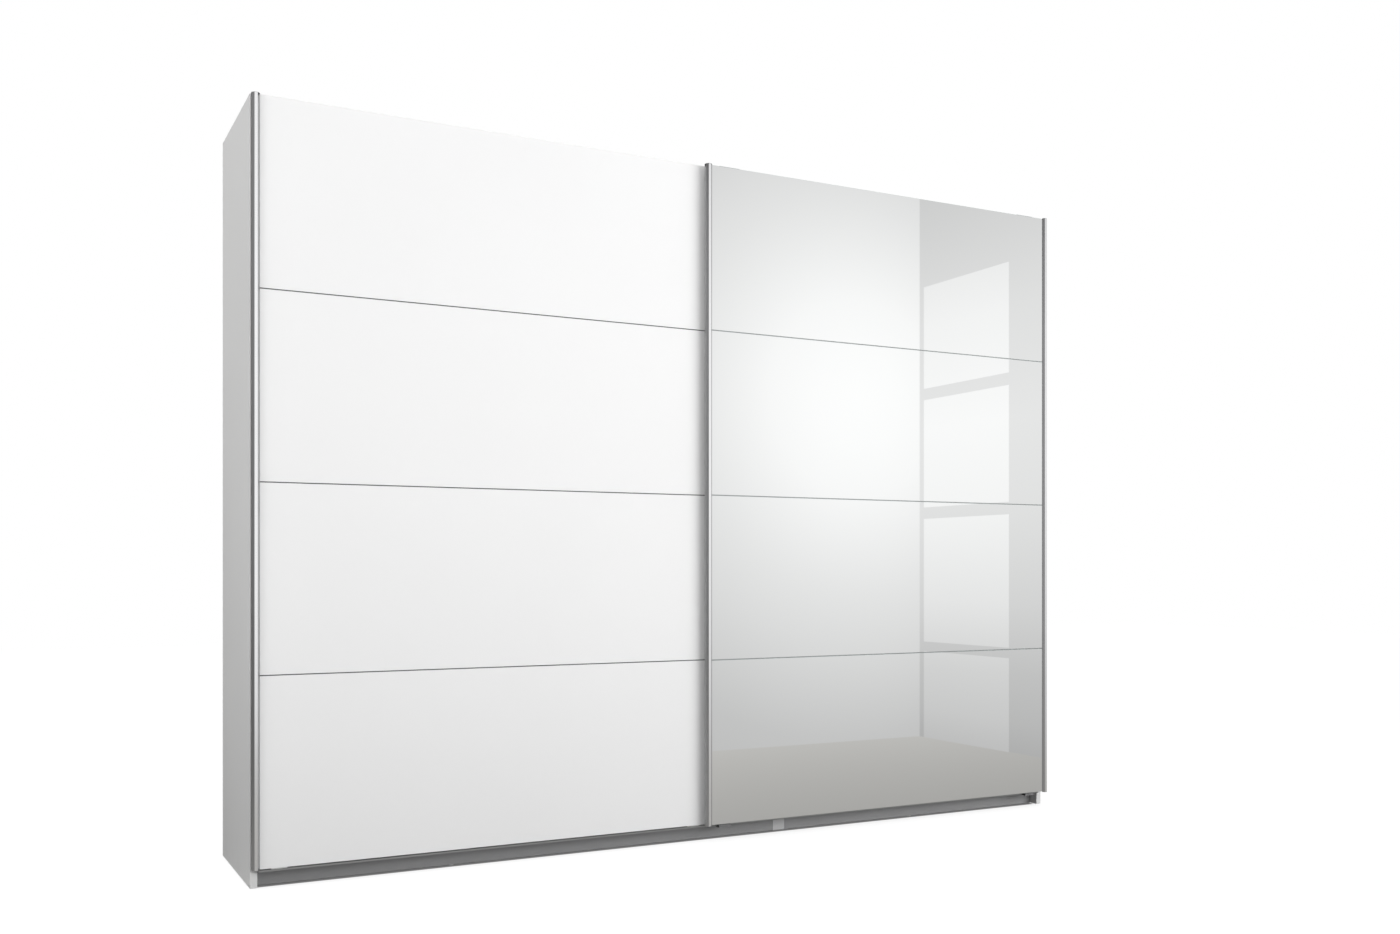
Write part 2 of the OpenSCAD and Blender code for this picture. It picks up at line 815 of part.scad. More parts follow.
// A bent arm under the rear door's groove, whose tongue stands in the downward groove
module right_guides() {
  tongue_a0 = rear_tongue - tongue_w / 2;
  color(black_steel) difference() {
    for (x = guide_xs(right_x0)) {
      union() {
        ahead_slab(x - guide_w / 2, x + guide_w / 2, front_back - steel_t, front_back,
                   guide_arm_z, door_z0 + guide_plate_h);
        ahead_slab(x - guide_w / 2, x + guide_w / 2, tongue_a0, front_back,
                   guide_arm_z, guide_arm_z + steel_t);
        ahead_slab(x - guide_w / 2, x + guide_w / 2, tongue_a0, tongue_a0 + tongue_w,
                   guide_arm_z, plinth_h - rail_plate_t - 0.5);
      }
    }
    front_guide_screws();
  }
}

// ---- Rollers: a grooved nylon wheel that turns on its axle ----

module roller(x, track) {
  half_w = roller_w / 2;
  half_groove = rib_w / 2 + 0.5;
  color(nylon) translate([x, front_y - track, axle_z]) rotate([90, 0, 0]) rotate_extrude()
    polygon([
      [axle_r + axle_clear, -half_w], [flange_r - 0.6, -half_w], [flange_r, -half_w + 0.6],
      [flange_r, -half_groove - 0.6], [roller_r, -half_groove], [roller_r, half_groove],
      [flange_r, half_groove + 0.6], [flange_r, half_w - 0.6], [flange_r - 0.6, half_w],
      [axle_r + axle_clear, half_w]]);
}

module left_roller_outer() { roller(roller_xs(left_x0)[0], rear_track); }
module left_roller_inner() { roller(roller_xs(left_x0)[1], rear_track); }
module right_roller_inner() { roller(roller_xs(right_x0)[0], front_track); }
module right_roller_outer() { roller(roller_xs(right_x0)[1], front_track); }

side_panel_left();
side_panel_right();
partition_panel();
top_board_left();
top_board_right();
bottom_board_left();
bottom_board_right();
back_panel_left_outer();
back_panel_left_inner();
back_panel_right_inner();
back_panel_right_outer();
back_joint_strips();
plinth_left();
plinth_right();
plinth_joint_clip();
rear_plinth_boards();
running_rail();
guide_rail();
track_stops();
board_screws();
shelf_left();
shelf_right();
shelf_pins();
clothes_rod_left();
clothes_rod_right();
rod_flanges();
rod_hangers();
cam_locks();
cam_bolts();
wall_brackets();
floor_glides();
left_panel_top();
left_panel_upper();
left_panel_lower();
left_panel_bottom();
left_trim_strips();
left_handle_outer();
left_handle_inner();
left_handle_caps();
left_carriage_brackets();
left_door_screws();
left_axles();
left_guides();
left_roller_outer();
left_roller_inner();
mirror_top();
mirror_upper();
mirror_lower();
mirror_bottom();
mirror_backing();
right_trim_strips();
right_handle_outer();
right_handle_inner();
right_handle_caps();
right_carriage_brackets();
right_door_screws();
right_axles();
right_guides();
right_roller_outer();
right_roller_inner();
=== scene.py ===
# %% [markdown]
# # A two-door sliding wardrobe
#
# The wardrobe is 2.7 m wide. Its left door is four white boards and its right door is four mirror
# panes that slide in front of the white ones. Sizes, places and motion come from the packed
# model, and this script gives each piece its eased edges, its finish and its light.
# Everything is in metres. The doors face -Y and Z is up.

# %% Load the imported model
import math

import bmesh
import bpy
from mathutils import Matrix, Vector


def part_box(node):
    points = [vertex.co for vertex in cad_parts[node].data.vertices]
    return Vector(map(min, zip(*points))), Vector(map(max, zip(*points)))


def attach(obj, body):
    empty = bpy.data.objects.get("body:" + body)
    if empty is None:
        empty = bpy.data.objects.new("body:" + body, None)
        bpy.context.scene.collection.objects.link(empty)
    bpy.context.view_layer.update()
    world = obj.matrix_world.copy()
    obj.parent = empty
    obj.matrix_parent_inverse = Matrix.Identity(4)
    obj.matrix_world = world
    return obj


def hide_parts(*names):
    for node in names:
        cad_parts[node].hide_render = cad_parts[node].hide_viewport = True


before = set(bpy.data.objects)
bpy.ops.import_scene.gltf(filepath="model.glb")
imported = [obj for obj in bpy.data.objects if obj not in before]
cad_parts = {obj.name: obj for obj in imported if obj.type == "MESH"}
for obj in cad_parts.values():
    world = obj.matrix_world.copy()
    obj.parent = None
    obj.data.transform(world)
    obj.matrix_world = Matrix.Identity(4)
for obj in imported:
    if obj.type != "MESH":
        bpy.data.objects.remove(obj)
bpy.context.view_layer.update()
MM = 0.001

# %% [markdown]
# ## Working by selection
#
# Modelling operators act on what is selected, as they do for a person with a mouse. Three small
# helpers make that safe in a script: one clears the selection, one opens a piece for editing, and
# one selects faces or edges by a test on their place or their direction. Selecting by number would
# be shorter, but numbers change as soon as a step before it changes.


# %% Selection helpers
def clear():
    if bpy.context.object and bpy.context.object.mode != "OBJECT":
        bpy.ops.object.mode_set(mode="OBJECT")
    bpy.ops.object.select_all(action="DESELECT")


def open_piece(piece, mode="FACE"):
    clear()
    piece.select_set(True)
    bpy.context.view_layer.objects.active = piece
    bpy.ops.object.mode_set(mode="EDIT")
    bpy.ops.mesh.select_mode(type=mode)
    bpy.ops.mesh.select_all(action="DESELECT")


def pick_faces(piece, test):
    bpy.ops.mesh.select_mode(type="FACE")
    mesh = bmesh.from_edit_mesh(piece.data)
    for face in mesh.faces:
        face.select_set(bool(test(face.calc_center_median(), face.normal)))
    mesh.select_flush_mode()
    bmesh.update_edit_mesh(piece.data)
    return sum(face.select for face in mesh.faces)


def pick_edges(piece, test):
    bpy.ops.mesh.select_mode(type="EDGE")
    mesh = bmesh.from_edit_mesh(piece.data)
    for edge in mesh.edges:
        low, high = edge.verts[0].co, edge.verts[1].co
        edge.select_set(bool(test((low + high) / 2, (high - low).normalized())))
    mesh.select_flush_mode()
    bmesh.update_edit_mesh(piece.data)
    return sum(edge.select for edge in mesh.edges)


# %% [markdown]
# ## A block at its place
#
# Most of a wardrobe is sawn board, so most pieces start as a cube stretched between two corners.
# The cube is added at its real place and size, and the transform is applied straight away: the
# object then sits at the origin, unturned and unscaled, and its place is in its mesh.


# %% Block helper
def block(name, low, high):
    clear()
    low, high = Vector(low), Vector(high)
    bpy.ops.mesh.primitive_cube_add(size=1, location=(low + high) / 2, scale=high - low)
    piece = bpy.context.object
    piece.name = name
    piece.data.name = name
    bpy.ops.object.transform_apply(location=True, rotation=True, scale=True)
    return piece


def smooth(piece, angle=48):
    """Smooth over the small facets of a bevel, with the broad faces kept flat."""
    clear()
    piece.select_set(True)
    bpy.context.view_layer.objects.active = piece
    bpy.ops.object.shade_smooth_by_angle(angle=math.radians(angle))
    weighted = piece.modifiers.new("broad faces lead", "WEIGHTED_NORMAL")
    weighted.keep_sharp = True
    bpy.ops.object.modifier_apply(modifier=weighted.name)


# %% [markdown]
# ## Shared surface effects
#
# Three effects come back in many finishes, so each is a node group that is built once: the fine
# skin of melamine and lacquer, the streaks that brushing leaves in aluminium, and the dust and
# rubs that a piece of furniture collects. A group only puts out values that change over the
# surface. Each material keeps its own shader and decides what those values do to it.


# %% Node group helper
def effect(name, inputs, outputs):
    group = bpy.data.node_groups.new(name, "ShaderNodeTree")
    for label, value in inputs.items():
        socket = group.interface.new_socket(label, in_out="INPUT", socket_type="NodeSocketFloat")
        socket.default_value = value
    for label in outputs:
        group.interface.new_socket(label, in_out="OUTPUT", socket_type="NodeSocketFloat")
    return group, group.nodes.new("NodeGroupInput"), group.nodes.new("NodeGroupOutput")


def add(tree, kind, links=(), **settings):
    """Adds a node, sets its inputs by label or number, and feeds it from other sockets."""
    node = tree.nodes.new(kind)
    for label, value in settings.pop("inputs", {}).items():
        node.inputs[label].default_value = value
    for label, value in settings.items():
        setattr(node, label, value)
    for label, source in dict(links).items():
        tree.links.new(source, node.inputs[label])
    return node


# %% Board skin: a cloudy tone and a fine pebbled height
skin_effect, given, result = effect("board_skin", {"Pebble": 900.0}, ("Cloud", "Height"))
place = add(skin_effect, "ShaderNodeTexCoord").outputs["Object"]
cloud = add(skin_effect, "ShaderNodeTexNoise", {"Vector": place},
            inputs={"Scale": 2.3, "Detail": 3.0, "Roughness": 0.45})
pebble = add(skin_effect, "ShaderNodeTexNoise",
             {"Vector": place, "Scale": given.outputs["Pebble"]},
             inputs={"Detail": 2.0, "Roughness": 0.6})
skin_effect.links.new(cloud.outputs["Fac"], result.inputs["Cloud"])
skin_effect.links.new(pebble.outputs["Fac"], result.inputs["Height"])

# %% Brushing: noise drawn out along one axis, for tone, roughness and height
brush_effect, given, result = effect(
    "brushing", {"Along X": 1.0, "Along Z": 1.0}, ("Streak", "Height"))
place = add(brush_effect, "ShaderNodeTexCoord").outputs["Object"]
stretch = add(brush_effect, "ShaderNodeCombineXYZ", {"X": given.outputs["Along X"],
              "Z": given.outputs["Along Z"]}, inputs={"Y": 1.0})
drawn = add(brush_effect, "ShaderNodeVectorMath", {0: place, 1: stretch.outputs[0]},
            operation="MULTIPLY")
coarse = add(brush_effect, "ShaderNodeTexNoise", {"Vector": drawn.outputs[0]},
             inputs={"Scale": 260.0, "Detail": 4.0, "Roughness": 0.65})
fine = add(brush_effect, "ShaderNodeTexNoise", {"Vector": drawn.outputs[0]},
           inputs={"Scale": 1900.0, "Detail": 2.0, "Roughness": 0.7})
brush_effect.links.new(coarse.outputs["Fac"], result.inputs["Streak"])
brush_effect.links.new(fine.outputs["Fac"], result.inputs["Height"])

# %% Wear: dust that lies on upward faces, and faint rubs near the floor
wear_effect, given, result = effect("wear", {"Rub height": 0.12}, ("Dust", "Rub"))
place = add(wear_effect, "ShaderNodeTexCoord").outputs["Object"]
facing = add(wear_effect, "ShaderNodeSeparateXYZ",
             {0: add(wear_effect, "ShaderNodeNewGeometry").outputs["Normal"]})
upward = add(wear_effect, "ShaderNodeMapRange", {"Value": facing.outputs["Z"]},
             inputs={"From Min": 0.6, "From Max": 0.95})
specks = add(wear_effect, "ShaderNodeTexNoise", {"Vector": place},
             inputs={"Scale": 38.0, "Detail": 6.0, "Roughness": 0.7})
dusty = add(wear_effect, "ShaderNodeMath", {0: upward.outputs[0], 1: specks.outputs["Fac"]},
            operation="MULTIPLY")
height = add(wear_effect, "ShaderNodeSeparateXYZ", {0: place})
low_part = add(wear_effect, "ShaderNodeMapRange",
               {"Value": height.outputs["Z"], "From Min": given.outputs["Rub height"]},
               inputs={"From Max": 0.0})
marks = add(wear_effect, "ShaderNodeTexNoise", {"Vector": place},
            inputs={"Scale": 14.0, "Detail": 8.0, "Roughness": 0.75})
sharp = add(wear_effect, "ShaderNodeMapRange", {"Value": marks.outputs["Fac"]},
            inputs={"From Min": 0.5, "From Max": 0.72})
rubbed = add(wear_effect, "ShaderNodeMath", {0: low_part.outputs[0], 1: sharp.outputs[0]},
             operation="MULTIPLY")
wear_effect.links.new(dusty.outputs[0], result.inputs["Dust"])
wear_effect.links.new(rubbed.outputs[0], result.inputs["Rub"])
print("shared effects:", [group.name for group in bpy.data.node_groups])

# %% [markdown]
# ## Building a finish
#
# Every finish on the wardrobe is one Principled shader whose base colour swings a little between
# two tones, whose roughness follows the same pattern, and whose surface is pressed in or out by a
# bump. The helper below wires those three in the material itself. What is the same all over the
# surface, such as metal or not, or the strength of a highlight, is set on the shader's own socket.


# %% Finish helper
DUST_SHADE = 0.42
RUB_SHADE = 0.3
WORN_ROUGHNESS = 0.85


def finish(name, pattern, tones, roughness, bump, pattern_values=None,
           dust=0.0, rub=0.0, **sockets):
    """A material between two tones and two roughnesses, with a bump of (strength, metres)."""
    material = bpy.data.materials.new(name)
    material.use_nodes = True
    tree = material.node_tree
    shader = tree.nodes["Principled BSDF"]
    for label, value in sockets.items():
        shader.inputs[label.replace("_", " ")].default_value = value
    texture = add(tree, "ShaderNodeGroup", node_tree=pattern)
    for label, value in (pattern_values or {}).items():
        texture.inputs[label].default_value = value
    colour = add(tree, "ShaderNodeMix", {"Factor": texture.outputs[0]}, data_type="RGBA")
    colour.inputs[6].default_value = (*tones[0], 1)
    colour.inputs[7].default_value = (*tones[1], 1)
    colour_out = colour.outputs[2]
    rough = add(tree, "ShaderNodeMapRange", {"Value": texture.outputs[0]},
                inputs={"To Min": roughness[0], "To Max": roughness[1]})
    rough_out = rough.outputs[0]
    if dust or rub:
        wear = add(tree, "ShaderNodeGroup", node_tree=wear_effect)
        for amount, label, shade in ((dust, "Dust", DUST_SHADE), (rub, "Rub", RUB_SHADE)):
            if not amount:
                continue
            mask = add(tree, "ShaderNodeMath", {0: wear.outputs[label]}, operation="MULTIPLY")
            mask.inputs[1].default_value = amount
            over = add(tree, "ShaderNodeMix", {"Factor": mask.outputs[0], 6: colour_out},
                       data_type="RGBA")
            over.inputs[7].default_value = (shade, shade * 0.97, shade * 0.92, 1)
            colour_out = over.outputs[2]
            duller = add(tree, "ShaderNodeMix", {"Factor": mask.outputs[0], 2: rough_out},
                         data_type="FLOAT")
            duller.inputs[3].default_value = WORN_ROUGHNESS
            rough_out = duller.outputs[0]
    pressed = add(tree, "ShaderNodeBump", {"Height": texture.outputs[1]},
                  inputs={"Strength": bump[0], "Distance": bump[1]})
    tree.links.new(colour_out, shader.inputs["Base Color"])
    tree.links.new(rough_out, shader.inputs["Roughness"])
    tree.links.new(pressed.outputs[0], shader.inputs["Normal"])
    return material


# %% [markdown]
# ## White boards
#
# The carcass is chipboard with a white melamine face, which has a fine pebble and a dull shine.
# Its sawn edges are covered with a plastic band that is a touch smoother. The door boards have a
# brighter, flatter white, and the thin back panels are lacquered fibreboard, a little warmer.
# One white for all of them would be quicker, but the small steps between them are what makes a
# real white cabinet readable.

# %% Board finishes
carcass_white = finish("carcass_white", skin_effect, ((0.74, 0.74, 0.735), (0.77, 0.77, 0.765)),
                       (0.42, 0.5), (0.25, 0.0001), dust=0.12, rub=0.10, Specular_IOR_Level=0.4)
edge_white = finish("edge_white", skin_effect, ((0.72, 0.72, 0.715), (0.75, 0.75, 0.745)),
                    (0.34, 0.42), (0.12, 0.0001), {"Pebble": 420.0}, dust=0.1, rub=0.12,
                    Specular_IOR_Level=0.5)
door_white = finish("door_white", skin_effect, ((0.845, 0.845, 0.845), (0.865, 0.865, 0.865)),
                    (0.46, 0.54), (0.2, 0.00008), {"Pebble": 700.0}, dust=0.1,
                    Specular_IOR_Level=0.35)
back_white = finish("back_white", skin_effect, ((0.70, 0.695, 0.68), (0.75, 0.745, 0.73)),
                    (0.5, 0.62), (0.35, 0.00015), {"Pebble": 330.0}, dust=0.1,
                    Specular_IOR_Level=0.3)
raw_board = finish("raw_board", skin_effect, ((0.30, 0.21, 0.13), (0.42, 0.31, 0.2)),
                   (0.75, 0.9), (0.8, 0.0006), {"Pebble": 260.0}, Specular_IOR_Level=0.2)
plinth_grey = finish("plinth_grey", skin_effect, ((0.275, 0.277, 0.281), (0.30, 0.302, 0.306)),
                     (0.4, 0.5), (0.3, 0.0001), dust=0.2, rub=0.25, Specular_IOR_Level=0.4)

# %% [markdown]
# ## Metals, nylon and rubber
#
# The handles, trims and rails are drawn aluminium with a silver anodised skin. Drawing leaves fine
# lines along the length of the bar: along Z on a handle and along X on a rail. A handle's flat
# front and the rest of it are one aluminium in two tones: the bright front is a painted highlight
# and a little smoother, and the darker flanks are painted shade. The white door's trims are the
# same aluminium in a much darker tone, which is painted shade, and the guide rail is a darker grey
# than the running rail. One silver for all of it would be simpler, but the handles would lose the
# painted bright line down their middle.
#
# The brackets are pressed steel with a zinc coat, which is cloudier and a little blue. The rollers
# and feet are nylon, the mirror door's guides are dark painted steel, and the stops are rubber.

# %% Metal and plastic finishes
UPRIGHT = {"Along Z": 0.012}
LEVEL = {"Along X": 0.012}
# The two handle finishes are one aluminium in two tones: the front's bright tone is a painted
# highlight, and the darker tone of the rest is painted shade.
handle_shaded = finish("handle_shaded", brush_effect, ((0.40, 0.40, 0.405), (0.48, 0.48, 0.485)),
                       (0.24, 0.34), (0.08, 0.00003), UPRIGHT, Metallic=1.0)
handle_front_highlight = finish("handle_front_highlight", brush_effect, ((0.87, 0.87, 0.875), (0.94, 0.94, 0.945)),
                      (0.14, 0.22), (0.05, 0.00002), UPRIGHT, Metallic=1.0)
cap_silver = finish("cap_silver", skin_effect, ((0.50, 0.50, 0.51), (0.56, 0.56, 0.57)),
                    (0.3, 0.4), (0.2, 0.00005), {"Pebble": 1500.0}, Metallic=1.0)
trim_silver = finish("trim_silver", brush_effect, ((0.36, 0.36, 0.37), (0.44, 0.44, 0.45)),
                     (0.28, 0.4), (0.08, 0.00003), LEVEL, Metallic=1.0)
# The white door's trims: the same aluminium as the mirror door's trims, made much darker as
# painted shade.
trim_shaded = finish("trim_shaded", brush_effect, ((0.10, 0.10, 0.103), (0.15, 0.15, 0.154)),
                   (0.34, 0.46), (0.08, 0.00003), LEVEL, Metallic=1.0)
guide_silver = finish("guide_silver", brush_effect, ((0.36, 0.36, 0.365), (0.43, 0.43, 0.435)),
                      (0.34, 0.46), (0.1, 0.00004), LEVEL, dust=0.3, Metallic=1.0)
rail_silver = finish("rail_silver", brush_effect, ((0.58, 0.58, 0.59), (0.68, 0.68, 0.69)),
                     (0.26, 0.38), (0.1, 0.00004), LEVEL, dust=0.35, Metallic=1.0)
rod_chrome = finish("rod_chrome", brush_effect, ((0.66, 0.66, 0.67), (0.74, 0.74, 0.75)),
                    (0.14, 0.22), (0.05, 0.00003), LEVEL, Metallic=1.0)
zinc = finish("zinc", skin_effect, ((0.50, 0.52, 0.55), (0.64, 0.66, 0.68)), (0.3, 0.5),
              (0.4, 0.00008), {"Pebble": 520.0}, dust=0.2, Metallic=1.0)
clip_grey = finish("clip_grey", skin_effect, ((0.50, 0.502, 0.506), (0.54, 0.542, 0.546)),
                   (0.36, 0.44), (0.2, 0.00005), dust=0.1, rub=0.1, Specular_IOR_Level=0.5)
nylon = finish("nylon", skin_effect, ((0.62, 0.62, 0.60), (0.70, 0.70, 0.68)), (0.32, 0.42),
               (0.3, 0.00006), {"Pebble": 800.0}, dust=0.15, Subsurface_Weight=0.08)
black_steel = finish("black_steel", skin_effect, ((0.15, 0.15, 0.153), (0.19, 0.19, 0.194)),
                     (0.38, 0.5), (0.4, 0.0001), {"Pebble": 640.0}, dust=0.3)
rubber = finish("rubber", skin_effect, ((0.018, 0.018, 0.019), (0.035, 0.035, 0.036)), (0.6, 0.8),
                (0.5, 0.0001), {"Pebble": 600.0}, dust=0.4, Specular_IOR_Level=0.35)

# %% [markdown]
# ## Mirror glass
#
# A mirror is 4 mm float glass with a silver coat on its back, so its face is a nearly perfect
# reflection with a faint green cast, and its ground edge is a dull sea green. Modelling the glass
# and the silver apart would need many bounces for the same picture. One metallic face with a very
# low roughness, and a second finish for the edge, gives the same look and exports cleanly.

# %% Mirror finishes
mirror_face = finish("mirror_face", skin_effect, ((0.925, 0.935, 0.93), (0.935, 0.94, 0.938)),
                     (0.012, 0.02), (0.02, 0.00001), {"Pebble": 6.0}, Metallic=1.0)
glass_edge = finish("glass_edge", skin_effect, ((0.34, 0.43, 0.40), (0.43, 0.52, 0.49)),
                    (0.3, 0.42), (0.4, 0.00005), {"Pebble": 1400.0}, Coat_Weight=0.2)
print("finishes:", len(bpy.data.materials))

# %% [markdown]
# ## Eased boards
#
# A sawn board is never a perfect box: its edges are eased by half a millimetre or so, and they
# catch a line of light and don't chip. Each board starts as a block, every edge is bevelled in
# edit mode, and the narrow faces get the finish of the edge band. A Bevel modifier would do the
# same, but the bevelled mesh is needed here at once, to choose the band's faces.


# %% Board helper
def board(node, body, face, band, ease=0.6 * MM):
    """Replaces a CAD board by one with eased edges; its thinnest axis is the face's direction."""
    low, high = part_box(node)
    size = high - low
    thin = min(range(3), key=lambda axis: size[axis])
    edge_axes = [axis for axis in range(3) if axis != thin]
    piece = block(node + "_board", low, high)
    piece.data.materials.append(face)
    piece.data.materials.append(band)
    open_piece(piece, "EDGE")
    bpy.ops.mesh.select_all(action="SELECT")
    bpy.ops.mesh.bevel(offset=ease, segments=2, profile=0.5, affect="EDGES")
    banded = pick_faces(piece, lambda centre, normal: any(abs(normal[axis]) > 0.5
                                                          for axis in edge_axes))
    piece.active_material_index = 1
    bpy.ops.object.material_slot_assign()
    smooth(piece)
    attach(piece, body)
    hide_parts(node)
    return banded


# %% [markdown]
# ## The carcass boards
#
# The two side panels stand on the floor glides and carry everything else. The shelves are the
# other boards with no fittings let into them. All of them get the white band on their edges, and
# the plinth boards stay grey all round.

# %% Side panels, shelves and plinths
for node in ("side_panel_left", "side_panel_right", "shelf_left", "shelf_right"):
    banded = board(node, "carcass", carcass_white, edge_white, ease=0.8 * MM)
    print(node, "has", banded, "banded faces")
for node in ("plinth_left", "plinth_right"):
    board(node, "carcass", plinth_grey, plinth_grey, ease=0.8 * MM)
for place in ("left_outer", "left_inner", "right_inner", "right_outer"):
    board(f"back_panel_{place}", "carcass", back_white, raw_board, ease=0.3 * MM)

# %% [markdown]
# ## The white door's fields
#
# The left door is four boards of the same height, one above the other. They are eased a little
# less than the carcass, so the joints with the trim strips stay thin and sharp.

# %% Door boards and the mirror's backing
for place in ("top", "upper", "lower", "bottom"):
    board(f"left_panel_{place}", "left_door", door_white, door_white, ease=0.45 * MM)
board("mirror_backing", "right_door", carcass_white, edge_white)

# %% [markdown]
# ## Mirror panes
#
# A mirror pane's edge is ground to a narrow chamfer at 45 degrees. From the front the chamfer is a
# thin bright line along the trim strips, and it separates the panes even where their reflections
# run on. One bevel segment keeps it flat, and the faces that aren't the mirror's front get the
# finish of ground glass.


# %% Mirror helper and the four panes
def mirror_pane(node, arris=0.6 * MM):
    low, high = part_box(node)
    piece = block(node + "_pane", low, high)
    for material in (mirror_face, glass_edge):
        piece.data.materials.append(material)
    open_piece(piece, "EDGE")
    pick_edges(piece, lambda centre, along: abs(centre.y - low.y) < 0.1 * MM)
    bpy.ops.mesh.bevel(offset=arris, segments=1, affect="EDGES")
    ground = pick_faces(piece, lambda centre, normal: normal.y > -0.99)
    piece.active_material_index = 1
    bpy.ops.object.material_slot_assign()
    clear()
    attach(piece, "right_door")
    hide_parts(node)
    return ground


for place in ("top", "upper", "lower", "bottom"):
    print("mirror", place, "ground faces:", mirror_pane(f"mirror_{place}"))

# %% [markdown]
# ## Handle profiles
#
# Each upright edge of a door is wrapped by a drawn aluminium bar. Seen from above it has a thin
# wall along the door's edge and a nose that stands 9 mm in front of the door, with a flat front
# and two slanted flanks that fingers pull on. It is shaped the way the section reads: a low block
# over the door's edge, its front face extruded forward and narrowed, and a strip of its back face
# extruded along the edge of the door. A traced outline would work too, but here each step is one
# part of the section, and the corners can be rounded at the end.

# %% Sizes of the profile, from the frame
left_low, left_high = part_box("left_handle_outer")
panel_low, panel_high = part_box("left_panel_top")
nose_width = left_high.x - left_low.x
door_thickness = panel_high.y - panel_low.y
edge_wall = panel_low.x - left_low.x
nose_reach = panel_low.y - left_low.y
nose_lip = 1.2 * MM
nose_flat = 9 * MM
corner_radius = 0.5 * MM
cap_ease = 0.35 * MM
print(f"profile: {nose_width / MM:.1f} mm wide, {nose_reach / MM:.1f} mm proud of the door,",
      f"wall {edge_wall / MM:.1f} mm")


# %% Profile helper
def profile(name, edge_x, inward, face_y, z_low, z_high):
    """A length of the section; inward is +1 where the door lies towards +X from its edge."""
    x_far = edge_x + inward * nose_width
    piece = block(name, (min(edge_x, x_far), face_y - nose_lip, z_low),
                  (max(edge_x, x_far), face_y, z_high))
    open_piece(piece)
    pick_faces(piece, lambda centre, normal: normal.y < -0.9)
    bpy.ops.mesh.extrude_region_move(
        TRANSFORM_OT_translate={"value": (0, -(nose_reach - nose_lip), 0)})
    bpy.ops.transform.resize(value=(nose_flat / nose_width, 1, 1),
                             center_override=((edge_x + x_far) / 2, face_y, z_low))
    bpy.ops.mesh.select_all(action="SELECT")
    wall_x = edge_x + inward * edge_wall
    bpy.ops.mesh.bisect(plane_co=(wall_x, 0, 0), plane_no=(1, 0, 0))
    pick_faces(piece, lambda centre, normal: normal.y > 0.9 and (centre.x - wall_x) * inward < 0)
    bpy.ops.mesh.extrude_region_move(TRANSFORM_OT_translate={"value": (0, door_thickness, 0)})
    bpy.ops.mesh.select_all(action="SELECT")
    bpy.ops.mesh.dissolve_limited(angle_limit=math.radians(1))
    middle = (z_low + z_high) / 2
    half = (z_high - z_low) / 2
    pick_edges(piece, lambda centre, along: abs(along.z) > 0.9 and abs(centre.z - middle) < half)
    bpy.ops.mesh.bevel(offset=corner_radius, segments=3, affect="EDGES", clamp_overlap=True)
    clear()
    return piece


# %% Four profiles and their end caps
cap_thickness = 1.2 * MM
doors = {"left": ("left_door", "left_panel_top", ("outer", "inner")),
         "right": ("right_door", "mirror_top", ("inner", "outer"))}
for side, (body, panel, order) in doors.items():
    face_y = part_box(panel)[0].y
    caps = []
    for inward, place in zip((1, -1), order):
        node = f"{side}_handle_{place}"
        low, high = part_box(node)
        edge_x = low.x if inward > 0 else high.x
        bar = profile(node + "_profile", edge_x, inward, face_y, low.z, high.z)
        # One aluminium in two tones: the flat front gets the painted highlight, the rest the
        # painted shade.
        bar.data.materials.append(handle_shaded)
        bar.data.materials.append(handle_front_highlight)
        open_piece(bar)
        pick_faces(bar, lambda centre, normal: normal.y < -0.99)
        bar.active_material_index = 1
        bpy.ops.object.material_slot_assign()
        smooth(bar)
        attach(bar, body)
        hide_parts(node)
        for z_low, z_high in ((low.z - cap_thickness, low.z), (high.z, high.z + cap_thickness)):
            cap = profile("cap", edge_x, inward, face_y, z_low, z_high)
            outer_z = z_low if z_low < low.z - 0.1 * MM else z_high
            open_piece(cap, "EDGE")
            pick_edges(cap, lambda centre, along: abs(centre.z - outer_z) < 0.01 * MM)
            bpy.ops.mesh.bevel(offset=cap_ease, segments=2, affect="EDGES")
            caps.append(cap)
    clear()
    for cap in caps:
        cap.select_set(True)
    bpy.context.view_layer.objects.active = caps[0]
    bpy.ops.object.join()
    joined = bpy.context.object
    joined.name = f"{side}_end_caps"
    joined.data.materials.clear()
    joined.data.materials.append(cap_silver)
    smooth(joined)
    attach(joined, body)
    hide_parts(f"{side}_handle_caps")
    print(joined.name, "faces:", len(joined.data.polygons))

# %% [markdown]
# ## Fittings with eased edges
#
# Rails, brackets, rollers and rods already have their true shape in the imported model, with every
# bore and slot. What they lack is the small radius that a die, a press or a mould leaves. A copy
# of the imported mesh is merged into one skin, its flat areas are joined into whole faces, and a
# Bevel modifier rounds what is still sharp. Remodelling them from primitives would only repeat the
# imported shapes.


# %% Copy-and-ease helper
def eased_copy(node, body, material, ease):
    """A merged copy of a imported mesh, with its sharp edges rounded by the ease."""
    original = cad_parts[node]
    clear()
    original.select_set(True)
    bpy.context.view_layer.objects.active = original
    bpy.ops.object.duplicate()
    piece = bpy.context.object
    for label in [key for key in piece.keys() if key.startswith("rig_")]:
        del piece[label]
    piece.parent = None
    piece.name = node + "_eased"
    piece.data.name = piece.name
    if piece.data.has_custom_normals:
        bpy.ops.mesh.customdata_custom_splitnormals_clear()
    open_piece(piece, "VERT")
    bpy.ops.mesh.select_all(action="SELECT")
    bpy.ops.mesh.remove_doubles(threshold=0.01 * MM)
    bpy.ops.mesh.dissolve_limited(angle_limit=math.radians(0.5))
    clear()
    piece.select_set(True)
    bpy.context.view_layer.objects.active = piece
    rounding = piece.modifiers.new("ease", "BEVEL")
    rounding.width = ease
    rounding.segments = 2
    rounding.limit_method = "ANGLE"
    rounding.angle_limit = math.radians(35)
    rounding.use_clamp_overlap = True
    bpy.ops.object.modifier_apply(modifier=rounding.name)
    piece.data.materials.clear()
    piece.data.materials.append(material)
    smooth(piece)
    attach(piece, body)
    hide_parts(node)
    return piece


